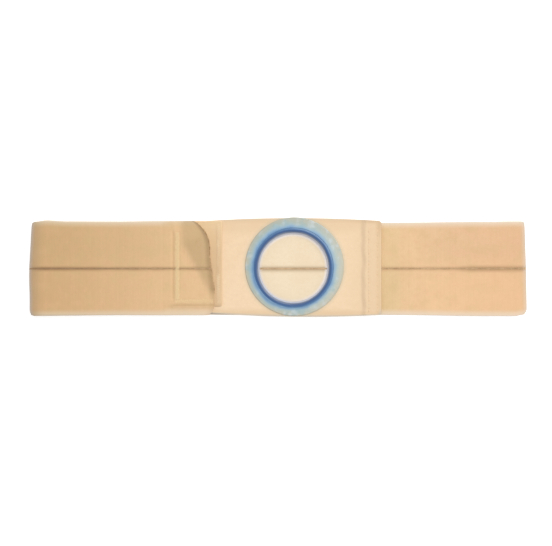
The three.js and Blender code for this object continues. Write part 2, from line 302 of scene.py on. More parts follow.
# painted grey shade on the folds' turned sides, from each fold
LEFT_FOLD_GREY_SHADE = (0.002, 0.0066)
RIGHT_FOLD_GREY_SHADE = (0.002, 0.008)
ROW_SHADE_ACROSS = 0.0397  # the line of painted shade on the lower strip where it steps down off the tab's edge
ROW_SHADE_TONE = (0.0003, 0.0015)  # from that line
ROW_SHADE_FADE = 0.004
PULL_TONE = (0.06, 0.045)  # from the strap's end
SINGED_AND_SHADED_END = (0.0075, 0.0005)
RIM_LIGHT = (0.033, 0.0364)  # painted light, from the opening's middle

# Where the panel's and the tab's tones lie
HEM_Y = (0.042, 0.05)
HEM_SHADE_TURN_Y = (-0.01, 0.01)  # strength of the painted edge shade, from the lower hem's to the upper one's
UPPER_PANEL_Y = (0.03, 0.044)
SEWN_PANEL_X = (0.062, 0.104)
PANEL_END_X = (0.104, 0.1118)
HEM_SHADE_LINE = (0.0003, 0.0038)  # painted grey shade, from its edge
# painted shade in the sewn upper corner, from the panel's edge
CORNER_SHADE = (0.001, 0.009)
FLANGE_SHADOW = 0.0044  # painted shadow, from the flange's edge
UPPER_TAB_Y = (0.02, 0.048)

# Colours as seen across the bead and the flange, from their inner (0) to their outer (1) edge
BEAD_STOPS = (
    (0.0, (152, 158, 174)),
    (0.12, (106, 124, 154)),
    (0.3, (52, 84, 132)),
    (0.5, (52, 92, 143)),
    # paler outer stops, partly a painted highlight on the bead's outer slope
    (0.7, (76, 116, 163)),
    (0.85, (100, 138, 180)),
    (1.0, (112, 150, 190)),
)
FLANGE_STOPS = (
    (0.0, (107, 146, 188)),
    (0.12, (134, 168, 199)),
    (0.24, (153, 182, 202)),
    (0.46, (173, 190, 188)),
    (0.68, (184, 188, 174)),
    (0.9, (197, 191, 170)),
    (1.0, (190, 182, 156)),
)


def srgb(red, green, blue):
    """A colour as seen, 0 to 255, as the linear colour that a shader takes."""
    parts = np.array([red, green, blue]) / 255
    linear = np.where(parts <= 0.04045, parts / 12.92, ((parts + 0.055) / 1.055) ** 2.4)
    return (*(linear / LIGHT_LEVEL).tolist(), 1.0)


class Look:
    """A node material; place, x, y and z are the object's own, in metres, and body its colour so far."""

    def __init__(self, name, sockets):
        self.material = bpy.data.materials.new(name)
        self.material.use_nodes = True
        self.tree = self.material.node_tree
        self.shader = self.tree.nodes["Principled BSDF"]
        for socket, value in sockets.items():
            self.shader.inputs[socket].default_value = value
        self.place = self.node("TexCoord").outputs["Object"]
        self.x, self.y, self.z = self.axes(self.place)
        self.body = None

    def node(self, kind, inputs=None, **settings):
        """A new node; its inputs are values or the outputs of other nodes."""
        made = self.tree.nodes.new(f"ShaderNode{kind}")
        for name, value in settings.items():
            setattr(made, name, value)
        for socket, value in (inputs or {}).items():
            self.feed(made.inputs[socket], value)
        return made

    def feed(self, socket, value):
        if isinstance(value, bpy.types.NodeSocket):
            self.tree.links.new(value, socket)
        else:
            socket.default_value = value

    def math(self, operation, *values):
        made = self.node("Math", dict(enumerate(values)), operation=operation)
        return made.outputs[0]

    def times(self, *shares):
        """The product of shares."""
        product, *others = shares
        for share in others:
            product = self.math("MULTIPLY", product, share)
        return product

    def away(self, value, middle):
        """How far a value lies from another, either way."""
        return self.math("ABSOLUTE", self.math("SUBTRACT", value, middle))

    def span(self, value, low, high, to_low=0.0, to_high=1.0):
        """A value eased from one range to another."""
        ends = {"Value": value, "From Min": low, "From Max": high, "To Min": to_low, "To Max": to_high}
        return self.node("MapRange", ends, interpolation_type="SMOOTHSTEP").outputs["Result"]

    def mix(self, share, low, high):
        """A colour between two, each as seen or the output of a node."""
        made = self.node("Mix", {"Factor": share}, data_type="RGBA")
        for socket, colour in ((6, low), (7, high)):
            self.feed(made.inputs[socket], srgb(*colour) if isinstance(colour, tuple) else colour)
        return made.outputs[2]

    def tint(self, colour, *shares):
        """Turns the body towards a colour, by the product of shares."""
        self.body = self.mix(self.times(*shares), self.body, colour)

    def noise(self, place, scale, detail=2.0, roughness=0.55, stretch=(1.0, 1.0, 1.0)):
        moved = self.node("Mapping", {"Vector": place, "Scale": stretch}).outputs["Vector"]
        settings = {"Vector": moved, "Scale": scale, "Detail": detail, "Roughness": roughness}
        return self.node("TexNoise", settings).outputs["Fac"]

    def patches(self, place, scale, low, high, most=1.0, **settings):
        """A share from 0 up to the most, in cloudy patches."""
        return self.span(self.noise(place, scale, **settings), low, high, 0.0, most)

    def bands(self, place, pitch, direction, wobble=1.0):
        """Even waves of a pitch in metres along X or Y of a place."""
        settings = {
            "Vector": place,
            "Scale": math.pi / (10 * pitch),
            "Distortion": wobble,
            "Detail": 2.0,
            "Detail Scale": 1.5,
        }
        return self.node("TexWave", settings, bands_direction=direction).outputs["Fac"]

    def layer(self, name):
        return self.node("UVMap", uv_map=name).outputs["UV"]

    def axes(self, place):
        return self.node("SeparateXYZ", {"Vector": place}).outputs

    def bump(self, height, distance, strength):
        made = self.node("Bump", {"Height": height, "Distance": distance, "Strength": strength})
        self.feed(self.shader.inputs["Normal"], made.outputs["Normal"])

    def finished(self):
        """The material, with the body as its base colour."""
        self.feed(self.shader.inputs["Base Color"], self.body)
        return self.material


def towards_left(look):
    """Share of the deeper tone that the strap has towards its left fold."""
    return look.span(look.x, *LEFT_TONE_X, 1.0, 0.0)


def below_seam(look):
    """1 on the lower strip of the strap and 0 on the upper one."""
    return look.span(look.y, *BELOW_SEAM_Y, 1.0, 0.0)


def painted_edge_shade(look):
    """Share of painted grey shade on a cloth where it turns over an edge, away from facing straight up."""
    upright = look.math("ABSOLUTE", look.axes(look.node("TexCoord").outputs["Normal"])[2])
    return look.span(upright, 0.3, 0.85, 1.0, 0.0)


def from_opening(look, shift, height):
    """Distance from the opening's middle, shifted and at a height."""
    middle = ((OPENING_X + shift[0]) * MM, (OPENING_Y + shift[1]) * MM, height * MM)
    return look.node("VectorMath", {0: look.place, 1: middle}, operation="DISTANCE").outputs["Value"]


def over_ring(look, axis, sides, ends):
    """A value eased between two sides of the ring, -1 to 1, along one axis."""
    middle = (OPENING_X, OPENING_Y)[axis]
    low, high = ((middle + side * FLANGE_RADIUS) * MM for side in sides)
    return look.span((look.x, look.y)[axis], low, high, *ends)


def ring_light(look):
    """Share of light on the ring, from its lower left to its upper right."""
    middle = (OPENING_X + OPENING_Y) * MM
    reach = FLANGE_RADIUS * MM
    return look.span(look.math("ADD", look.x, look.y), middle - reach, middle + reach)


def elastic_body(look, place):
    """Starts with a patchy tan, deeper to the left and warmer to the right, with painted shade beside the
    panel's right end.
    """
    upper = look.span(look.y, *UPPER_STRIP_Y)
    look.body = look.mix(towards_left(look), (248, 211, 166), (207, 170, 121))
    look.tint((238, 192, 151), look.span(look.x, *RIGHT_TONE_X, 0.0, 0.7))
    look.tint((226, 184, 138), look.noise(place, 38.0), 0.5)
    look.tint((242, 186, 150), look.patches(place, 90.0, 0.45, 0.7, 0.2))
    look.tint((212, 190, 132), look.patches(place, 75.0, 0.45, 0.7, 0.2))
    look.tint((200, 162, 112), look.patches(place, 260.0, 0.35, 0.7, 0.1))
    right_run = look.mix(upper, (255, 207, 156), (214, 170, 138))
    look.tint(right_run, look.span(look.x, *RIGHT_RUN_X, 0.0, 0.18))
    look.tint((168, 152, 104), upper, look.span(look.x, *LEFT_RUN_X, 0.12, 0.0))
    # painted shade on the strap beside the panel's right end, stronger on the lower strip
    beside = look.span(look.away(look.x, PANEL_RIGHT_X * MM), *PANEL_END_SHADE_REACH, 0.38, 0.0)
    look.tint((212, 194, 140), beside, look.span(upper, 0.0, 1.0, 1.0, 0.6))


def selvage_tones(look, across, on_pull, lower):
    """Pales the selvage, wider below and weaker above on the finger pull, and paints light along the upper
    strip's edge and shade along the lower strip's edge.
    """
    left = towards_left(look)
    upper = look.math("SUBTRACT", 1.0, lower)
    start = look.math("MULTIPLY_ADD", look.times(on_pull, lower), -0.0025, SELVAGE_TONE[0])
    full = look.math("MULTIPLY_ADD", look.times(on_pull, upper), -0.4, 0.76)
    selvage = look.mix(left, (237, 219, 197), (223, 203, 173))
    look.tint(selvage, full, look.span(across, start, SELVAGE_TONE[1]))
    margin = look.span(across, *MARGIN_LIGHT_AND_SHADE)
    # painted light on the upper strip's edge, painted shade on the lower strip's edge
    look.tint((234, 224, 206), margin, upper, 0.55)
    look.tint((178, 166, 148), margin, lower, look.math("MULTIPLY_ADD", left, 0.36, 0.04))


def seam_tones(look, place, lower):
    """Darkens the seam's groove with painted shade and soil, in patches to the right, and more before the
    right fold.
    """
    left = towards_left(look)
    from_seam = look.math("MULTIPLY_ADD", lower, -SEAM_SHADE, look.axes(place)[1])
    # painted shade and soil in the seam's groove, shifted towards the lower strip
    groove = look.math("POWER", look.span(from_seam, 0.0, SEAM_SHADE_AND_SOIL, 1.0, 0.0), 1.6)
    patchy = look.span(look.noise(place, 42.0), 0.32, 0.62, 0.6, 1.0)
    groove_shade_and_soil = look.mix(left, (197, 158, 118), (156, 118, 80))
    look.tint(groove_shade_and_soil, groove, look.math("MAXIMUM", patchy, left), 0.85)
    # more painted shade and soil in the groove before the right fold
    right_groove_shade_and_soil = look.span(from_seam, 0.0, RIGHT_SEAM_SHADE_AND_SOIL, 0.4, 0.0)
    look.tint((150, 112, 72), right_groove_shade_and_soil, look.span(look.x, *RIGHT_SEAM_SHADE_AND_SOIL_X))


def fold_tones(look, along, folds):
    """Paints shade on the strap towards its left fold and grey shade on both folds."""
    to_right, to_left = (look.away(along, fold) for fold in folds)
    # painted shade where the strap curves away from the light at its left fold
    deepened = look.math("POWER", look.span(to_left, *LEFT_FOLD_SHADE, 1.0, 0.0), 2.0)
    look.tint((172, 146, 112), deepened, 0.6)
    look.tint((202, 190, 174), look.span(to_right, *RIGHT_FOLD_GREY_SHADE, 0.62, 0.0))
    look.tint((206, 192, 182), look.span(to_left, *LEFT_FOLD_GREY_SHADE, 0.62, 0.0))


def pull_tones(look, place, length, on_pull, lower):
    """Paints a line of shade on the finger pull under its row and olive shade on its lifted part, and singes
    its end, darkened further by painted shade.
    """
    along, across, _ = look.axes(place)
    # painted shade along the lower strip's step down off the tab's edge, under the row
    row_shade = look.span(look.away(across, ROW_SHADE_ACROSS), *ROW_SHADE_TONE, 0.26, 0.0)
    column = COLUMN_X[0] * MM
    sewn = look.span(look.x, column - ROW_SHADE_FADE, column)
    look.tint((170, 134, 88), row_shade, on_pull, sewn, lower)
    # painted olive shade on the finger pull's lifted part, which faces away from the lamp
    look.tint((204, 180, 124), on_pull, look.span(look.z, *LIFTED_END_SHADE_Z, 0.1, 0.32))
    # the singed cut end, darkened further by painted shade along the lifted free edge
    end = look.span(along, *(length - before for before in SINGED_AND_SHADED_END))
    raised = look.span(look.y, *RAISED_END_Y)
    look.tint((140, 102, 62), end, look.math("MULTIPLY_ADD", raised, 0.26, 0.12))


def woven_elastic(length, folds):
    """Outer face of the elastic: cross ribs, selvages, a seam darkened by painted shade and soil, and folds
    darkened by painted shade.
    """
    look = Look("woven_elastic", {"Roughness": 0.82, "Sheen Weight": 0.12, "Sheen Roughness": 0.5})
    place = look.layer(WEAVE_LAYER)
    along, across, _ = look.axes(place)
    lower = below_seam(look)
    on_pull = look.span(along, *(length - before for before in PULL_TONE))
    fuzz = look.noise(place, 900.0, detail=4.0)
    elastic_body(look, place)
    look.tint((190, 148, 104), fuzz, 0.22)
    streaks = look.patches(place, 300.0, 0.35, 0.68, stretch=(1.0, 0.04, 1.0))
    streaked = look.math("MULTIPLY_ADD", towards_left(look), 0.08, 0.06)
    look.tint((200, 162, 116), streaks, streaked)
    selvage_tones(look, across, on_pull, lower)
    seam_tones(look, place, lower)
    fold_tones(look, along, folds)
    pull_tones(look, place, length, on_pull, lower)
    # painted grey shade where the elastic turns over its edges and folds
    look.tint((168, 158, 148), painted_edge_shade(look), 0.55)
    ribs = look.bands(place, 0.0017, "X")
    yarns = look.bands(place, 0.0011, "Y")
    height = look.math("MULTIPLY_ADD", yarns, 0.35, ribs)
    look.bump(look.math("MULTIPLY_ADD", fuzz, 0.5, height), 0.00012, 0.6)
    return look.finished()


def plush_face():
    """Inner face of the elastic: a short pale pile, with painted shade and soil in the seam's groove and
    painted light at the ring's rim.
    """
    look = Look("plush_face", {"Roughness": 0.9, "Sheen Weight": 0.25, "Sheen Roughness": 0.6})
    place = look.layer(WEAVE_LAYER)
    pile = look.noise(place, 1100.0, detail=4.0)
    look.body = look.mix(look.noise(place, 45.0), (249, 231, 202), (241, 220, 188))
    look.tint((222, 196, 160), look.patches(place, 300.0, 0.35, 0.68, 0.14))
    look.tint((205, 176, 138), pile, 0.15)
    # painted shade and soil in the seam's groove, shifted towards the lower strip
    shifted = look.math("ADD", look.axes(place)[1], SEAM_SHADE)
    from_seam = look.math("MULTIPLY_ADD", below_seam(look), -2 * SEAM_SHADE, shifted)
    groove = look.math("POWER", look.span(from_seam, 0.0, PLUSH_SEAM_SHADE_AND_SOIL, 1.0, 0.0), 1.4)
    look.tint((178, 152, 118), groove, 0.8)
    # painted light at the opening's rim, strongest to the upper right where the bead's shadow falls
    light = ring_light(look)
    rim = look.span(from_opening(look, (0.0, 0.0), STRAP_WALL), *RIM_LIGHT)
    tone = look.mix(light, (232, 229, 232), (255, 250, 250))
    look.tint(tone, rim, look.span(light, 0.0, 1.0, 0.42, 0.85))
    look.bump(pile, 0.00025, 0.5)
    return look.finished()


def cut_end():
    """The strap's cut end, singed darker."""
    look = Look("cut_end", {"Roughness": 0.85})
    fray = look.noise(look.place, 700.0, detail=5.0)
    look.body = look.mix(fray, (150, 112, 72), (196, 160, 114))
    look.bump(fray, 0.0003, 0.7)
    return look.finished()


def panel_edge_tones(look, hem, corner):
    """Paints grey shade along the panel's edges, more on the lower one, shade in its sewn corner and a
    shadow round the flange.
    """
    from_edge = look.axes(look.layer(PANEL_LAYER))[1]
    strength = look.span(look.y, *HEM_SHADE_TURN_Y, 0.75, 0.35)
    # painted grey shade along the panel's edges, stronger on the lower one
    look.tint((205, 194, 178), hem, look.span(from_edge, *HEM_SHADE_LINE, 1.0, 0.0), strength)
    # painted shade in the panel's sewn upper corner
    look.tint((206, 172, 134), corner, look.span(from_edge, *CORNER_SHADE, 0.8, 0.0))
    # painted shadow of the flange's edge on the panel
    out = from_opening(look, FLANGE_SHIFT, FLANGE_Z)
    edge = FLANGE_RADIUS * MM
    look.tint((188, 192, 176), look.span(out, edge, edge + FLANGE_SHADOW, 0.3, 0.0))


def brushed_panel():
    """The panel's brushed loop cloth."""
    look = Look("brushed_panel", {"Roughness": 0.88, "Sheen Weight": 0.2, "Sheen Roughness": 0.5})
    place = look.place
    loops = look.noise(place, 1000.0, detail=5.0, roughness=0.65)
    brushed = look.noise(place, 160.0, detail=3.0, stretch=(0.35, 1.0, 1.0))
    look.body = look.mix(look.noise(place, 26.0), (251, 226, 192), (246, 217, 181))
    look.tint((232, 196, 158), brushed, 0.22)
    look.tint((205, 168, 128), loops, 0.12)
    look.tint((222, 188, 150), look.patches(place, 300.0, 0.35, 0.68, 0.14))
    hem = look.span(look.math("ABSOLUTE", look.y), *HEM_Y)
    upper = look.span(look.y, *UPPER_PANEL_Y, 0.0, 0.7)
    sewn = look.span(look.x, *SEWN_PANEL_X, 0.0, 0.7)
    # the panel deeper in tone at its hems, its upper part and towards its sewn end
    deepened = look.math("MAXIMUM", hem, look.math("MAXIMUM", upper, sewn))
    look.tint((229, 199, 161), deepened, 0.8)
    look.tint((222, 190, 146), look.span(look.x, *PANEL_END_X, 0.0, 0.4))
    panel_edge_tones(look, hem, look.times(upper, sewn))
    # painted grey shade where the panel turns over its edges
    look.tint((176, 166, 152), painted_edge_shade(look), 0.55)
    look.bump(look.math("MULTIPLY_ADD", brushed, 0.6, loops), 0.0003, 0.5)
    return look.finished()


def plain_tab():
    """The tab's plain woven cloth."""
    look = Look("plain_tab", {"Roughness": 0.86, "Sheen Weight": 0.15, "Sheen Roughness": 0.5})
    place = look.place
    weave = look.times(*(look.bands(place, 0.0009, direction, wobble=0.6) for direction in "XY"))
    look.body = look.mix(look.noise(place, 60.0, detail=3.0), (234, 205, 163), (226, 193, 152))
    look.tint((242, 215, 172), look.span(look.y, *UPPER_TAB_Y), 0.45)
    look.tint((196, 156, 112), weave, 0.12)
    look.bump(weave, 0.0002, 0.5)
    return look.finished()


def across_ring(look, wander, light_lean):
    """Place across a ring, 0 to 1 outwards, which wanders and leans right and up, a painted light that
    shifts the colours outwards on the lit side.
    """
    cloud = look.noise(look.place, 60.0, detail=3.0)
    wandered = look.span(cloud, 0.25, 0.75, -wander, wander)
    across = look.math("ADD", look.axes(look.layer(RING_LAYER))[1], wandered)
    for axis, share in enumerate(light_lean):
        across = look.math("ADD", across, over_ring(look, axis, (-1, 1), (-share, share)))
    return across


def colour_stops(look, place, stops):
    """Colours by place, from stops of a place and a colour."""
    ramp = look.node("ValToRGB", {"Fac": place})
    elements = ramp.color_ramp.elements
    for _ in stops[2:]:
        elements.new(0.5)
    for element, (at, seen) in zip(elements, stops):
        element.position = at
        element.color = srgb(*seen)
    return ramp.outputs["Color"]


def deep_blue_vinyl():
    """The bead's soft dark blue vinyl, paler on its outer side, partly as a painted highlight, with painted
    light and shade on its inner side.
    """
    look = Look("deep_blue_vinyl", {"Roughness": 0.34, "Coat Weight": 0.2, "Coat Roughness": 0.2})
    across = across_ring(look, 0.06, (0.05, 0.04))
    look.body = colour_stops(look, across, BEAD_STOPS)
    # painted light on the bead's inner side to the upper right and painted shade to the lower left
    side = look.mix(ring_light(look), (10, 50, 100), (190, 200, 216))
    look.tint(side, look.span(across, 0.15, 0.4, 0.15, 0.01))
    grain = look.noise(look.place, 600.0, detail=3.0)
    look.feed(look.shader.inputs["Roughness"], look.span(grain, 0.2, 0.8, 0.28, 0.46))
    look.bump(grain, 0.00008, 0.4)
    return look.finished()


def pale_lip():
    """The bead's thin lip, pale where the vinyl is thin, with painted light to the upper right and painted
    shade to the lower left.
    """
    look = Look("pale_lip", {"Roughness": 0.3, "Coat Weight": 0.2})
    look.body = look.mix(look.noise(look.place, 80.0), (218, 214, 222), (198, 200, 218))
    # painted light to the upper right and painted shade to the lower left
    side = look.mix(ring_light(look), (136, 156, 172), (240, 240, 244))
    look.tint(side, 0.35)
    return look.finished()


def pale_blue_vinyl():
    """The flange's pale blue vinyl, bluer at the bead and clearer at its edge, with painted highlights to
    the right and in patches and painted shade above and low by the bead.
    """
    look = Look("pale_blue_vinyl", {"Roughness": 0.26, "Coat Weight": 0.3, "Coat Roughness": 0.15})
    place = look.place
    across = across_ring(look, 0.1, (0.09, 0.01))
    look.body = colour_stops(look, across, FLANGE_STOPS)
    off_bead = look.span(across, 0.15, 0.6)
    at_bead = look.span(across, 0.05, 0.45, 0.9, 0.0)
    # painted highlight on the right side
    look.tint((208, 214, 206), off_bead, over_ring(look, 0, (-1, 1), (0.0, 0.3)))
    # painted shade on the upper side
    look.tint((148, 166, 162), off_bead, over_ring(look, 1, (0, 1), (0.0, 0.34)))
    # painted shade on the lower side by the bead
    look.tint((110, 146, 182), at_bead, over_ring(look, 1, (-1, 0), (1.0, 0.0)))
    # painted glints in patches
    glints = look.patches(place, 110.0, 0.5, 0.72, 0.46, detail=3.0)
    look.tint((210, 222, 232), off_bead, glints)
    teal = look.patches(place, 85.0, 0.5, 0.72, 0.42, stretch=(1.0, 1.3, 1.0))
    look.tint((140, 178, 188), teal)
    cloud = look.noise(place, 55.0, detail=3.0)
    grain = look.noise(place, 450.0, detail=3.0)
    look.bump(look.math("MULTIPLY_ADD", grain, 0.2, cloud), 0.0006, 0.5)
    return look.finished()


def sewing_thread(name, light, dark, scale=1500.0, left_share=0.0, left_tone=(0, 0, 0)):
    """Twisted thread, which can take a deeper tone towards the left fold."""
    look = Look(name, {"Roughness": 0.6, "Sheen Weight": 0.2})
    twist = look.patches(look.place, scale, 0.25, 0.75)
    look.body = look.mix(twist, dark, light)
    look.tint(left_tone, towards_left(look), left_share)
    return look.finished()


# Meshes


def add_object(name, data):
    """A new object in the scene."""
    made = bpy.data.objects.new(name, data)
    bpy.context.collection.objects.link(made)
    return made


def make_piece(name, points, faces, materials, slots=None, layers=None):
    """A smooth mesh from points in millimetres; layers give each point coordinates."""
    mesh = bpy.data.meshes.new(name)
    mesh.from_pydata((np.asarray(points) * MM).tolist(), [], faces)
    for material in materials:
        mesh.materials.append(material)
    if slots is not None:
        mesh.polygons.foreach_set("material_index", np.asarray(slots, dtype=np.int32))
    mesh.polygons.foreach_set("use_smooth", np.ones(len(mesh.polygons), dtype=bool))
    corners = np.empty(len(mesh.loops), dtype=np.int32)
    mesh.loops.foreach_get("vertex_index", corners)
    for layer, pairs in (layers or {}).items():
        made = mesh.uv_layers.new(name=layer)
        made.uv.foreach_set("vector", np.asarray(pairs, dtype=np.float32)[corners].ravel())
    mesh.validate()
    return add_object(name, mesh)


def ring_faces(rings, count):
    """Quads between rings of points that close on themselves."""
    start = np.arange(rings - 1)[:, None] * count
    here = np.arange(count)[None, :]
    there = (here + 1) % count
    quads = np.stack([start + here, start + count + here, start + count + there, start + there], axis=-1)
    return quads.reshape(-1, 4).tolist()


def closed_piece(name, rings, materials, slots=None, layers=None):
    """A mesh through rings of points, the last of which meets the first."""
    rows, count = rings.shape[:2]
    faces = np.array(ring_faces(rows + 1, count)) % (rows * count)
    return make_piece(name, rings.reshape(-1, 3), faces[:, ::-1].tolist(), materials, slots, layers)


def end_faces(first, count, flip):
    """Faces that close a flat ring whose lower side goes back under its upper side."""
    faces = []
    for j in range(count // 2):
        corners = [first + j, first + j + 1, first + (count - j - 1) % count, first + (count - j) % count]
        kept = list(dict.fromkeys(corners))
        faces.append(kept[::-1] if flip else kept)
    return faces


def blunt(distance, width):
    """Share of the wall's thickness at a distance in from its rounded edge."""
    inside = np.clip(distance / width, 0.0, 1.0)
    return (1 - (1 - inside) ** EDGE_BLUNT) ** (1 / EDGE_BLUNT)


def places_across(width, low_round, high_round, count):
    """Places across a wall, close together at its rounded edges."""
    bend = 1 - np.cos(np.linspace(0, math.pi / 2, EDGE_STEPS + 1))
    low = low_round * bend[:-1] + 0 * width
    middle = low_round + (width - low_round - high_round) * np.linspace(0, 1, count + 1)
    high = width - high_round * bend[-2::-1]
    return np.concatenate([low, middle, high], axis=-1)


def wall_ring(upper, lower):
    """Rings of a wall's upper and lower sides, which share their two edges."""
    return np.concatenate([upper, lower[:, -2:0:-1]], axis=1)


def loft_piece(name, upper, lower, materials, under_slot=0, end_slot=0, layers=None):
    """A closed wall lofted through rows of points on its two sides."""
    rings = wall_ring(upper, lower)
    rows, count = rings.shape[:2]
    across = upper.shape[1]
    faces = ring_faces(rows, count)
    side = (np.arange(count) >= across - 1) * under_slot
    slots = np.tile(side, rows - 1).tolist()
    for first, flip in ((0, False), ((rows - 1) * count, True)):
        ends = end_faces(first, count, flip)
        faces += ends
        slots += [end_slot] * len(ends)
    return make_piece(name, rings.reshape(-1, 3), faces, materials, slots, layers)


# The strap's way round the belt


def run_stations(rows, curls=False):
    """Stations along a run: x, z, reach above and below, normal x and z, and whether it curls."""
    heading = math.copysign(1.0, rows[-1][0] - rows[0][0])
    stations = []
    for (*start, pitch), (*end, _) in zip(rows, rows[1:]):
        change = np.subtract(end, start)
        count = max(2, round(abs(change[0]) / pitch))
        t = np.arange(count) / count
        here = start + np.outer(smooth(t), change)
        here[:, 0] = start[0] + change[0] * t
        slope = change[1] / change[0] * 6 * t * (1 - t)
        size = heading / np.hypot(slope, 1)
        stations.append(np.column_stack([here, -slope * size, size, np.full_like(t, curls)]))
    last = [[*rows[-1][:4], 0.0, heading, float(curls)]]
    return np.concatenate([*stations, last])


def fold_stations(side, row):
    """Stations round the right fold (side 1), going down, or the left one (-1), going up."""
    turn = np.linspace(0, math.pi, FOLD_STEPS + 1)[1:-1]
    normal_x = side * np.sin(turn)
    normal_z = side * np.cos(turn)
    x = side * FOLD_X + FOLD_RADIUS * normal_x
    z = BACK_Z + FOLD_RADIUS + FOLD_RADIUS * normal_z
    drawn = np.sin(turn) ** 2
    above, below = (reach - pinch * drawn for reach, pinch in zip(row[2:4], FOLD_PINCH[side]))
    return np.stack([x, z, above, below, normal_x, normal_z, np.zeros_like(turn)], 1)


def strap_stations():
    return np.concatenate([
        run_stations(FRONT_RIGHT_RUN),
        fold_stations(1, BACK_RUN[0]),
        run_stations(BACK_RUN),
        fold_stations(-1, BACK_RUN[-1]),
        run_stations(FRONT_LEFT_RUN, curls=True),
    ])


def past_line(line, x, y):
    """The way out to the left of a line, and how far each point lies past it."""
    (from_x, from_y), (to_x, to_y) = line
    length = math.hypot(to_x - from_x, to_y - from_y)
    away = (-(to_y - from_y) / length, (to_x - from_x) / length)
    return away, (x - from_x) * away[0] + (y - from_y) * away[1]


def lift(x, y):
    """How far the strap's end stands off the tab before it curls."""
    total = 0.0
    for line, slope, turn in CREASES:
        past = np.maximum(0, np.minimum(past_line(line, x, y)[1], x - LIFT_START_X))
        total = total + slope * np.where(past < turn, past**2 / (2 * turn), past - turn / 2)
    return total


def end_loss(x, y):
    """How much the slanting end and its rounded corners shorten the strap."""
    reach = np.maximum(0, (x - PULL_START_X) / (STRAP_END_X - PULL_START_X))
    loss = END_SLANT * ease(y, *END_SLANT_Y)
    for corner, start_y, edge_y, power in END_CORNERS:
        loss = loss + corner * np.maximum(0, (y - start_y) / (edge_y - start_y)) ** power
    return reach * loss


def within(value, limits, fade):
    """1 between two limits, easing to 0 beyond them."""
    low, high = limits
    return ease(value, low - fade, low) * (1 - ease(value, high, high + fade))


def bell(value, middle, width):
    """1 at a middle, fading over a width to both sides."""
    return np.exp(-(((value - middle) / width) ** 2))


def pucker(x, y):
    """How far the strap sinks along its stitching and past the tab's lower edge."""
    beside = CREASE_DEPTH * bell(x, CREASE_X, CREASE_WIDTH) * within(y, COLUMN_Y, CREASE_FADE)
    under_row = ROW_CREASE_DEPTH * bell(y, ROW_CREASE_Y, CREASE_WIDTH) * within(x, ROW_X, ROW_CREASE_FADE)
    column = within(x, COLUMN_X, SEWN_FADE) * within(y, COLUMN_Y, SEWN_FADE)
    row = within(x, ROW_X, SEWN_FADE) * within(y, ROW_Y, SEWN_FADE)
    off_tab = TAB_DROP * ease(x, *STEP_X) * ease(y, *TAB_DROP_Y)
    return beside + under_row + SEWN_DEPTH * np.maximum(column, row) + off_tab


def sway(x, y):
    """Gentle waves where nothing holds the strap's front runs level."""
    waves = sum(np.sin(x / along + y / across + phase) for along, across, phase in SWAY_WAVES)
    return SWAY / 2 * within(np.abs(x), SWAY_X, SWAY_FADE) * waves


def fold_lean(x, y):
    """How far the strap shifts to the right where its folds lean out of square."""
    near_fold = ease(np.abs(x), FOLD_SKEW_START_X, FOLD_X)
    high = np.maximum(0, (y - STRAP_AXIS_Y) / HALF)
    low = np.maximum(0, (STRAP_AXIS_Y - y) / HALF)
    left = FOLD_SKEW_LEFT * high
    for draw, from_y, to_y in FOLD_DRAWS_LEFT:
        left = left + draw * near_fold * ease(y, from_y, to_y)
    right = FOLD_OUT_RIGHT - FOLD_SKEW_RIGHT[0] * high + FOLD_SKEW_RIGHT[1] * low
    return near_fold * np.where(x < 0, left, right)


def strap_points(stations, y, offset):
    """Points of the strap at each station, at an offset out of the middle of its wall."""
    x, z, _, _, normal_x, normal_z, curls = (column[:, None] for column in stations.T)
    flat_x = x + fold_lean(x, y)
    flat_x = flat_x - curls * end_loss(flat_x, y)
    away, distance = past_line(CURL_LINE, flat_x, y)
    distance = curls * np.maximum(0, distance)
    angle = distance / CURL_RADIUS
    shift = (CURL_RADIUS - offset) * np.sin(angle) - distance
    rise = (CURL_RADIUS - offset) * (1 - np.cos(angle)) + curls * (lift(flat_x, y) - pucker(flat_x, y))
    front = normal_z > 0.5
    return np.stack([
        flat_x + offset * normal_x + shift * away[0],
        y + shift * away[1] + 0 * x,
        z + offset * normal_z + rise + front * sway(flat_x, y),
    ], axis=-1)


def lengths_along(stations):
    steps = np.hypot(np.diff(stations[:, 0]), np.diff(stations[:, 1]))
    return np.concatenate([[0.0], np.cumsum(steps)])


def strip_piece(name, side, materials):
    """One strip of the strap: side is 1 above the seam and -1 below it."""
    stations = strap_stations()
    reach = stations[:, 2 if side > 0 else 3][:, None]
    width = reach - SEAM_GAP / 2
    seam_round = SEAM_ROUND[side]
    columns = round((HALF - seam_round - EDGE_ROUND) / COLUMN_PITCH)
    share = places_across(HALF, seam_round, EDGE_ROUND, columns)[None, :] / HALF
    from_seam = SEAM_GAP / 2 + width * share
    half_wall = STRAP_WALL / 2 * blunt(width * share, seam_round) * blunt(width * (1 - share), EDGE_ROUND)
    selvage = ease(from_seam, SELVAGE_START, SELVAGE_START + SELVAGE_STEP)
    half_wall = half_wall * (1 - SELVAGE_THIN * selvage)
    y = STRAP_AXIS_Y + side * from_seam
    upper = strap_points(stations, y, half_wall)
    lower = strap_points(stations, y, -half_wall)
    along = lengths_along(stations)[:, None]
    across = SEAM_GAP / 2 + (HALF - SEAM_GAP / 2) * share
    pairs = np.stack(np.broadcast_arrays(along, across), axis=-1) * MM
    if side < 0:
        upper, lower, pairs = upper[:, ::-1], lower[:, ::-1], pairs[:, ::-1]
    layers = {WEAVE_LAYER: wall_ring(pairs, pairs).reshape(-1, 2)}
    return loft_piece(name, upper, lower, materials, under_slot=1, end_slot=2, layers=layers)


# The panel, the tab and the ring


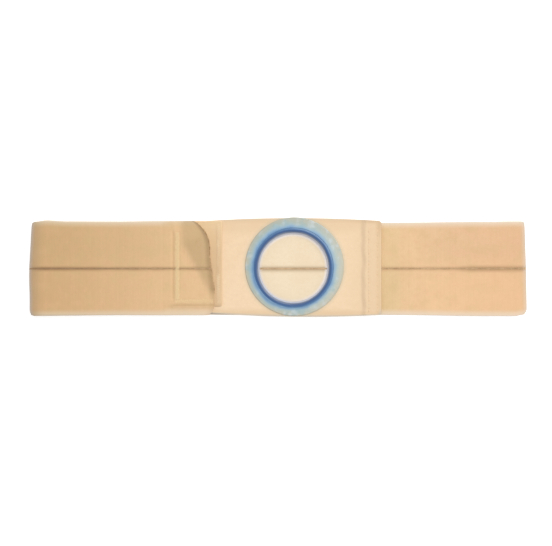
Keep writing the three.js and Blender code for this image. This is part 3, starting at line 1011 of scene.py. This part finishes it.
def panel_edges(x):
    """The panel's lower and upper edge, with rounded corners at its right end."""
    bowed = PANEL_HALF_HEIGHT - PANEL_TAPER * (x - OPENING_X) ** 2
    past = np.clip(x - (PANEL_RIGHT_X - PANEL_CORNER), 0, PANEL_CORNER)
    half = bowed - (PANEL_CORNER - np.sqrt(PANEL_CORNER**2 - past**2))
    return -half - PANEL_TILT * (x - OPENING_X), half


def panel_rise(x, y):
    """The panel's climb onto the strap's hidden end, puckered along its stitching."""
    step = PANEL_STEP_X + STEP_WANDER / 2 * sum(np.sin(y / length + phase) for length, phase in STEP_WAVES)
    rise = PANEL_RISE * ease(x, step, step + PANEL_STEP_LENGTH)
    short, long = PUCKER_WAVES
    for stitch_x in PANEL_STITCH_X:
        waves = 1 + np.sin(y / short + stitch_x + np.sin(y / long))
        rise = rise - PUCKER_DEPTH * bell(x, stitch_x, PUCKER_WIDTH) * waves
    return rise


def even_steps(start, end):
    """Points from one to another at the panel's pitch."""
    return np.linspace(start, end, round(math.dist(start, end) / PANEL_PITCH))


def panel_outline():
    """The panel's outline, once round from its right end's foot, against the clock."""
    corner_x = PANEL_RIGHT_X - PANEL_CORNER
    turn = np.linspace(0, math.pi / 2, CORNER_STEPS + 1)
    corner = corner_x + PANEL_CORNER * np.cos(turn)
    edge_x = np.concatenate([corner, even_steps([corner_x], [PANEL_LEFT_X])[1:, 0]])
    low_y, high_y = panel_edges(edge_x)
    low = np.stack([edge_x, low_y], 1)[::-1]
    high = np.stack([edge_x, high_y], 1)
    right = even_steps(low[-1], high[0])[1:-1]
    left = even_steps(high[-1], low[0])[1:-1]
    return np.concatenate([right, high, left, low])


def panel_piece(name, material):
    """The panel, lofted from its hole out to its outline."""
    outline = panel_outline()
    centre = np.array([OPENING_X, OPENING_Y])
    reach = np.linalg.norm(outline - centre, axis=1, keepdims=True)
    outward = (outline - centre) / reach
    gap = reach - HOLE_RADIUS
    distance = places_across(gap, PANEL_ROUND, PANEL_ROUND, PANEL_ROWS).T
    from_edge = gap.T - distance
    flat = centre + outward * (HOLE_RADIUS + distance)[..., None]
    half_wall = PANEL_WALL / 2 * blunt(distance, PANEL_ROUND) * blunt(from_edge, PANEL_ROUND)
    level = PANEL_Z + PANEL_WALL / 2 + panel_rise(flat[..., 0], flat[..., 1])
    upper = np.dstack([flat, level + half_wall])
    lower = np.dstack([flat, level - half_wall])
    pairs = np.dstack([distance, from_edge]) * MM
    layers = {PANEL_LAYER: np.concatenate([pairs, pairs[-2:0:-1]]).reshape(-1, 2)}
    return closed_piece(name, np.concatenate([upper, lower[-2:0:-1]]), [material], layers=layers)


def tab_piece(name, material):
    """The plain patch under the strap's end, with rounded corners."""
    length = TAB_RIGHT_X - TAB_LEFT_X
    width = TAB_TOP_Y - TAB_BOTTOM_Y
    rows = round((length - 2 * TAB_CORNER) / COLUMN_PITCH)
    columns = round((width - 2 * TAB_ROUND) / COLUMN_PITCH)
    along = places_across(length, TAB_CORNER, TAB_CORNER, rows)[:, None]
    share = places_across(width, TAB_ROUND, TAB_ROUND, columns)[None, :] / width
    from_end = np.minimum(along, length - along)
    past = np.clip(TAB_CORNER - from_end, 0, TAB_CORNER)
    half_width = width / 2 - TAB_CORNER + np.sqrt(TAB_CORNER**2 - past**2)
    y = (TAB_TOP_Y + TAB_BOTTOM_Y) / 2 + half_width * (2 * share - 1)
    x = TAB_LEFT_X + along + 0 * y
    edge = blunt(2 * half_width * np.minimum(share, 1 - share), TAB_ROUND)
    thin = TAB_THIN + (1 - TAB_THIN) * ease(y, TAB_BOTTOM_Y, TAB_BOTTOM_Y + TAB_TAPER)
    thin_ends = TAB_END_THIN + (1 - TAB_END_THIN) * blunt(from_end, TAB_ROUND)
    half_wall = (TAB_WALL + TAB_CLING) / 2 * thin * thin_ends
    level = TAB_Z - TAB_CLING + half_wall
    upper = np.dstack([x, y, level + half_wall * edge])
    lower = np.dstack([x, y, level - half_wall * edge])
    return loft_piece(name, upper, lower, [material])


def turned_piece(name, profile, materials, slots=None, shift=(0.0, 0.0)):
    """A ring turned from a closed profile of radius, height and share across.

    Its outer edge can lie off the opening's axis by a shift.
    """
    radius, height, across = np.array(profile).T
    turn = np.linspace(0, 2 * math.pi, RING_SEGMENTS, endpoint=False)[:, None]
    points = np.stack([
        OPENING_X + radius * np.cos(turn) + shift[0] * across,
        OPENING_Y + radius * np.sin(turn) + shift[1] * across,
        height + 0 * turn,
    ], axis=-1)
    pairs = np.stack([turn / (2 * math.pi) + 0 * across, across + 0 * turn], axis=-1)
    face_slots = np.tile(slots, RING_SEGMENTS) if slots else None
    return closed_piece(name, points, materials, face_slots, {RING_LAYER: pairs.reshape(-1, 2)})


def bead_piece(name, vinyl, lip):
    """The round bead in the panel's hole, with a thin pale lip at its foot."""
    low = PANEL_Z
    half = BEAD_HEIGHT / 2
    middle = OPENING_RADIUS + BEAD_WIDTH / 2
    turns = np.linspace(*BEAD_ARC, BEAD_STEPS + 1)
    arc = [
        (middle + BEAD_WIDTH / 2 * math.cos(t), low + half + half * math.sin(t), (1 + math.cos(t)) / 2)
        for t in turns
    ]
    inner = OPENING_RADIUS - LIP_WIDTH
    lip_side = [
        (OPENING_RADIUS + LIP_BLEND, low + LIP_WALL + LIP_ROUND, 0.1),
        (inner + LIP_WIDTH / 2, low + LIP_WALL, 0.05),
        (inner + LIP_ROUND, low + LIP_WALL, 0.0),
        (inner, low + LIP_WALL - LIP_ROUND, 0.0),
        (inner, low + LIP_FOOT, 0.0),
        (inner + LIP_FOOT, low, 0.0),
    ]
    profile = [(middle, low, 0.5), *arc, *lip_side]
    slots = [0] * (len(arc) + 1) + [1] * len(lip_side)
    return turned_piece(name, profile, [vinyl, lip], slots)


def bead_flank(z):
    """Radius of the bead's outer side at a height."""
    half = BEAD_HEIGHT / 2
    rise = (z - PANEL_Z - half) / half
    return OPENING_RADIUS + BEAD_WIDTH / 2 * (1 + np.sqrt(1 - rise**2))


def flange_piece(name, material):
    """The washer against the bead, which thins to its outer edge."""
    low = FLANGE_Z - RING_GAP + FLANK_GAP
    top = FLANGE_Z + FLANGE_WALL
    flank_z = np.linspace(low, top, FLANK_STEPS + 1)
    flank_r = bead_flank(flank_z) + FLANK_GAP
    inner = flank_r[-1]
    across = np.linspace(0, 1, FLANGE_STEPS + 1)
    radius = inner + (FLANGE_RADIUS - inner) * across
    height = low + (top - low) * (1 - (1 - FLANGE_THIN) * across)
    upper = list(zip(radius, height, across))
    lower = [(r, low, a) for r, a in zip(radius[::-1], across[::-1]) if r > flank_r[0]]
    flank = [(r, z, 0.0) for r, z in zip(flank_r[:-1], flank_z[:-1])]
    return turned_piece(name, [*lower, *flank, *upper], [material], shift=FLANGE_SHIFT)


# Thread


def unit(vectors):
    """Vectors brought to a length of 1."""
    return vectors / np.maximum(np.linalg.norm(vectors, axis=1, keepdims=True), NO_LENGTH)


def thread_piece(name, paths, material, radius=THREAD_RADIUS):
    """Threads along paths of points, with closed ends."""
    turn = np.linspace(0, 2 * math.pi, THREAD_SIDES, endpoint=False)[None, :, None]
    side = np.arange(THREAD_SIDES)
    points = []
    faces = []
    first = 0
    for path in paths:
        ahead = unit(np.gradient(path, axis=0))
        aside = unit(np.cross(ahead, (0.0, 0.0, 1.0)))
        above = np.cross(aside, ahead)
        rings = path[:, None] + radius * (np.cos(turn) * aside[:, None] + np.sin(turn) * above[:, None])
        points.append(rings.reshape(-1, 3))
        last = first + (len(path) - 1) * THREAD_SIDES
        walls = first + np.array(ring_faces(len(path), THREAD_SIDES))
        faces += walls[:, ::-1].tolist()
        faces += [(first + side).tolist(), (last + side)[::-1].tolist()]
        first = last + THREAD_SIDES
    return make_piece(name, np.concatenate(points), faces, [material])


def zigzag(ends, pitch, sides):
    """Places along and across a zigzag between two ends and two sides."""
    strokes = 2 * round((ends[1] - ends[0]) / pitch)
    step = np.linspace(0, strokes, strokes * STROKE_STEPS + 1)
    along = ends[0] + (ends[1] - ends[0]) * step / strokes
    across = sides[0] + (sides[1] - sides[0]) * np.abs(step % 2 - 1)
    return along, across


def stations_at(places, known, stations):
    """Stations interpolated at places, from those at known places."""
    return np.stack([np.interp(places, known, column) for column in stations.T], 1)


def on_pull(x, y, offset):
    """Points of the strap's last run."""
    run = run_stations(FRONT_LEFT_RUN, curls=True)
    return strap_points(stations_at(x, run[:, 0], run), y[:, None], np.reshape(offset, (-1, 1)))[:, 0]


def pull_zigzags():
    """The zigzag column and row that sew the strap's end to the tab."""
    level = STRAP_WALL / 2 + (2 * THREAD_SHOWN - 1) * THREAD_RADIUS
    column_y, column_x = zigzag(COLUMN_Y, COLUMN_PITCH_Y, COLUMN_X)
    row_x, row_y = zigzag(ROW_X, ROW_PITCH_X, ROW_Y)
    return [on_pull(column_x, column_y, level), on_pull(row_x, row_y, level)]


def tab_zigzag():
    """The zigzag that edges the tab."""
    y, x = zigzag(TAB_ZIGZAG_Y, TAB_ZIGZAG_PITCH, TAB_ZIGZAG_X)
    return np.stack([x, y, np.full_like(x, TAB_Z + TAB_WALL)], 1)


def frayed_ends():
    """Short yarn ends that stand out of the strap's cut end."""
    random = np.random.default_rng(FRAY_COUNT)
    y = random.uniform(*FRAY_Y, FRAY_COUNT)
    offset = random.uniform(*FRAY_LEVEL, FRAY_COUNT) * STRAP_WALL / 2
    end = on_pull(np.full(FRAY_COUNT, STRAP_END_X), y, offset)
    back = on_pull(np.full(FRAY_COUNT, STRAP_END_X - 1), y, offset)
    ahead = unit(end - back)
    aside = np.cross(ahead, (0.0, 0.0, 1.0))
    length = random.uniform(*FRAY_LENGTH, FRAY_COUNT)[:, None]
    drift = random.uniform(-FRAY_DRIFT, FRAY_DRIFT, FRAY_COUNT)[:, None]
    steps = [end + length * (s * ahead + drift * s**2 * aside) for s in FRAY_STEPS]
    return list(np.stack(steps, axis=1))


def straight_stitches(x, low_y, high_y, height):
    """A line of stitches across the belt, each out of the cloth and back into it."""
    count = int((high_y - low_y) // (STITCH_LENGTH + STITCH_SPACE))
    share = np.linspace(0, 1, STITCH_STEPS)
    rise, depth = STITCH_ARCH
    arch = THREAD_RADIUS * (rise * np.sin(math.pi * share) ** 0.5 - depth)
    paths = []
    for k in range(count):
        y = low_y + k * (STITCH_LENGTH + STITCH_SPACE) + STITCH_LENGTH * share
        paths.append(np.stack([np.full_like(y, x), y, height + arch], 1))
    return paths


def panel_stitches():
    """The lines of stitches that sew the panel's right end over the strap."""
    height = PANEL_Z + PANEL_WALL + PANEL_RISE - PUCKER_DEPTH
    paths = []
    for x in PANEL_STITCH_X:
        low_y, high_y = panel_edges(x)
        paths += straight_stitches(x, low_y + STITCH_MARGIN, high_y - STITCH_MARGIN, height)
    return paths


def seam_zigzag(sign):
    """The zigzag that joins the strips, on the strap's outer (1) or inner (-1) face."""
    stations = strap_stations()
    lengths = lengths_along(stations)
    sides = (STRAP_AXIS_Y - SEAM_REACH, STRAP_AXIS_Y + SEAM_REACH)
    along, y = zigzag((SEAM_PITCH, lengths[-1] - SEAM_PITCH), SEAM_PITCH, sides)
    level = sign * (STRAP_WALL / 2 - SEAM_SINK)
    return strap_points(stations_at(along, lengths, stations), y[:, None], level)[:, 0]


# Building the belt

stations = strap_stations()
lengths = lengths_along(stations) * MM
strip_length = lengths[-1]
fold_places = [float(lengths[stations[:, 0].argmax()]), float(lengths[stations[:, 0].argmin()])]
singed = cut_end()
elastic_looks = [woven_elastic(strip_length, fold_places), plush_face(), singed]
cream_thread = sewing_thread("cream_thread", (245, 222, 175), (236, 206, 156))
pale_thread = sewing_thread("pale_thread", (250, 232, 198), (224, 194, 152), 70.0)
tan_thread = sewing_thread("tan_thread", (246, 218, 182), (232, 200, 162))
brown_thread = sewing_thread("brown_thread", (234, 200, 154), (202, 166, 120), 260.0, 0.85, (164, 128, 88))

upper_strip = strip_piece("strap_upper", 1, elastic_looks)
lower_strip = strip_piece("strap_lower", -1, elastic_looks)
panel = panel_piece("panel", brushed_panel())
tab = tab_piece("tab", plain_tab())
bead = bead_piece("bead", deep_blue_vinyl(), pale_lip())
flange = flange_piece("flange", pale_blue_vinyl())

pull_thread = thread_piece("pull_zigzag", pull_zigzags(), cream_thread)
hem_thread = thread_piece("panel_stitches", panel_stitches(), tan_thread)
tab_thread = thread_piece("tab_zigzag", [tab_zigzag()], pale_thread)
seam_thread = thread_piece("seam_zigzag", [seam_zigzag(1), seam_zigzag(-1)], brown_thread, SEAM_THREAD)
frayed_yarn = thread_piece("frayed_end", frayed_ends(), singed, FRAY_RADIUS)

PIECES = (
    (upper_strip, "elastic", "elastic_upper"),
    (lower_strip, "elastic", "elastic_lower"),
    (panel, "panel_cloth", "front_panel"),
    (tab, "tab_cloth", "closure_tab"),
    (bead, "deep_blue_vinyl", "ring_bead"),
    (flange, "pale_blue_vinyl", "ring_flange"),
    (pull_thread, "panel_cloth", None),
    (hem_thread, "panel_cloth", None),
    (tab_thread, "tab_cloth", None),
    (seam_thread, "elastic", None),
    (frayed_yarn, "elastic", None),
)
for piece, slot, node in PIECES:
    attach(piece, "root")
    if node:
        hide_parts(node)


# Floor, light and camera


def make_floor():
    reach = FLOOR_SIZE / 2
    corners = [(-reach, -reach), (reach, -reach), (reach, reach), (-reach, reach)]
    mesh = bpy.data.meshes.new("floor")
    mesh.from_pydata([(x, y, FLOOR_Z) for x, y in corners], [], [(0, 1, 2, 3)])
    look = Look("pale_floor", {"Roughness": 0.9, "Base Color": FLOOR_TONE, "Emission Strength": FLOOR_GLOW})
    mesh.materials.append(look.material)
    floor = add_object("floor", mesh)


def make_world():
    world = bpy.data.worlds.new("studio")
    world.use_nodes = True
    background = world.node_tree.nodes["Background"]
    background.inputs["Color"].default_value = (1.0, 1.0, 1.0, 1.0)
    background.inputs["Strength"].default_value = WORLD_LIGHT
    bpy.context.scene.world = world


def make_key_light():
    """A wide soft lamp, aimed at the middle of the floor."""
    lamp = bpy.data.lights.new("key", "AREA")
    lamp.shape = "DISK"
    lamp.size = KEY_SIZE
    lamp.energy = KEY_POWER
    lamp.color = KEY_TINT
    light = add_object("key", lamp)
    light.location = KEY_PLACE
    x, y, z = KEY_PLACE
    light.rotation_euler = (math.atan2(math.hypot(x, y), z), 0, math.atan2(-y, -x) - math.pi / 2)


def make_camera():
    data = bpy.data.cameras.new("camera")
    data.lens = LENS
    data.sensor_width = SENSOR
    camera = add_object("camera", data)
    camera.location = (*FRAME_CENTRE, SUBJECT_Z + FRAME_WIDTH * LENS / SENSOR)
    bpy.context.scene.camera = camera


make_camera()
make_floor()
make_world()
make_key_light()
bpy.context.scene.view_settings.view_transform = "Standard"
